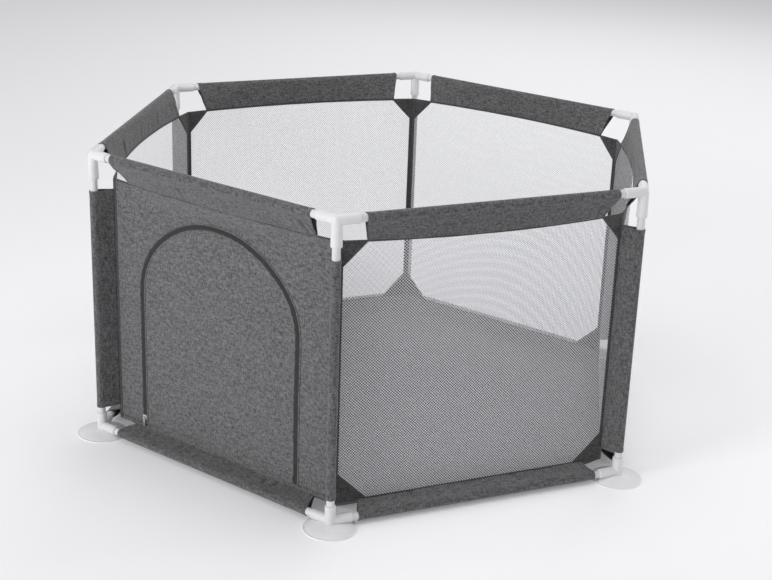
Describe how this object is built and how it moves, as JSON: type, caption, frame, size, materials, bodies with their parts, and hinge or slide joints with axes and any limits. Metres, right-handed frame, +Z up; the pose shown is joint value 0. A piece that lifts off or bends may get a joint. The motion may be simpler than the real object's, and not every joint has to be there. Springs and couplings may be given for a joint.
{
  "type": "play yard",
  "caption": "Free-standing hexagonal play yard: tube frame with corner connectors and suction feet carrying a fabric tub with mesh walls and one cloth wall with a zipped arch door.",
  "frame": {"origin": "on the ground, at the centre of the hexagon", "axes": "+Z up; -Y towards corner 1; the door wall faces -X -Y, between corners 6 and 1"},
  "size_m": [1.2146, 1.386, 0.6342],
  "materials": {
    "tube": "white powder coat",
    "connector": "white moulded plastic, satin",
    "foot": "light grey soft plastic, slightly translucent",
    "mesh": "fine see-through polyester net",
    "linen": "heathered grey linen-look weave",
    "dark_cloth": "dark grey woven polyester",
    "floor_cloth": "dark grey coated oxford cloth",
    "zip_tape": "dark woven zip tape",
    "zip_metal": "bright plated metal"
  },
  "bodies": {
    "frame": {"post_1": "tube", "post_2": "tube", "post_3": "tube", "post_4": "tube", "post_5": "tube", "post_6": "tube", "top_rail_1": "tube", "top_rail_2": "tube", "top_rail_3": "tube", "top_rail_4": "tube", "top_rail_5": "tube", "top_rail_6": "tube", "bottom_rail_1": "tube", "bottom_rail_2": "tube", "bottom_rail_3": "tube", "bottom_rail_4": "tube", "bottom_rail_5": "tube", "bottom_rail_6": "tube", "top_connector_1": "connector", "top_connector_2": "connector", "top_connector_3": "connector", "top_connector_4": "connector", "top_connector_5": "connector", "top_connector_6": "connector", "bottom_connector_1": "connector", "bottom_connector_2": "connector", "bottom_connector_3": "connector", "bottom_connector_4": "connector", "bottom_connector_5": "connector", "bottom_connector_6": "connector", "suction_foot_1": "foot", "suction_foot_2": "foot", "suction_foot_3": "foot", "suction_foot_4": "foot", "suction_foot_5": "foot", "suction_foot_6": "foot", "mesh_wall_1": "mesh", "mesh_wall_2": "mesh", "mesh_wall_3": "mesh", "mesh_wall_4": "mesh", "mesh_wall_5": "mesh", "door_wall": "linen", "tub_floor": "floor_cloth", "floor_skirt": "floor_cloth", "top_sleeves": "dark_cloth", "bottom_sleeves": "dark_cloth", "post_sleeves": "dark_cloth", "top_gussets": "dark_cloth", "bottom_gussets": "dark_cloth", "corner_bindings": "dark_cloth", "zip_tape_wall": "zip_tape"},
    "door": {"door_flap": "linen", "zip_tape_door": "zip_tape"},
    "slider": {"zip_slider": "zip_metal"},
    "pull": {"zip_pull": "zip_metal"}
  },
  "joints": [
    {"name": "door_fold", "type": "hinge", "parent": "frame", "child": "door", "pos_m": [-0.26821, -0.44355, 0.039], "axis": [0.866, -0.5, 0], "range_deg": [0, 95]},
    {"name": "zip_travel", "type": "slide", "parent": "frame", "child": "slider", "axis": [0, 0, 1], "range_m": [0, 0.284]},
    {"name": "pull_swing", "type": "hinge", "parent": "slider", "child": "pull", "pos_m": [-0.45359, -0.34264, 0.055], "axis": [-0.866, 0.5, 0], "range_deg": [0, 150]}
  ]
}
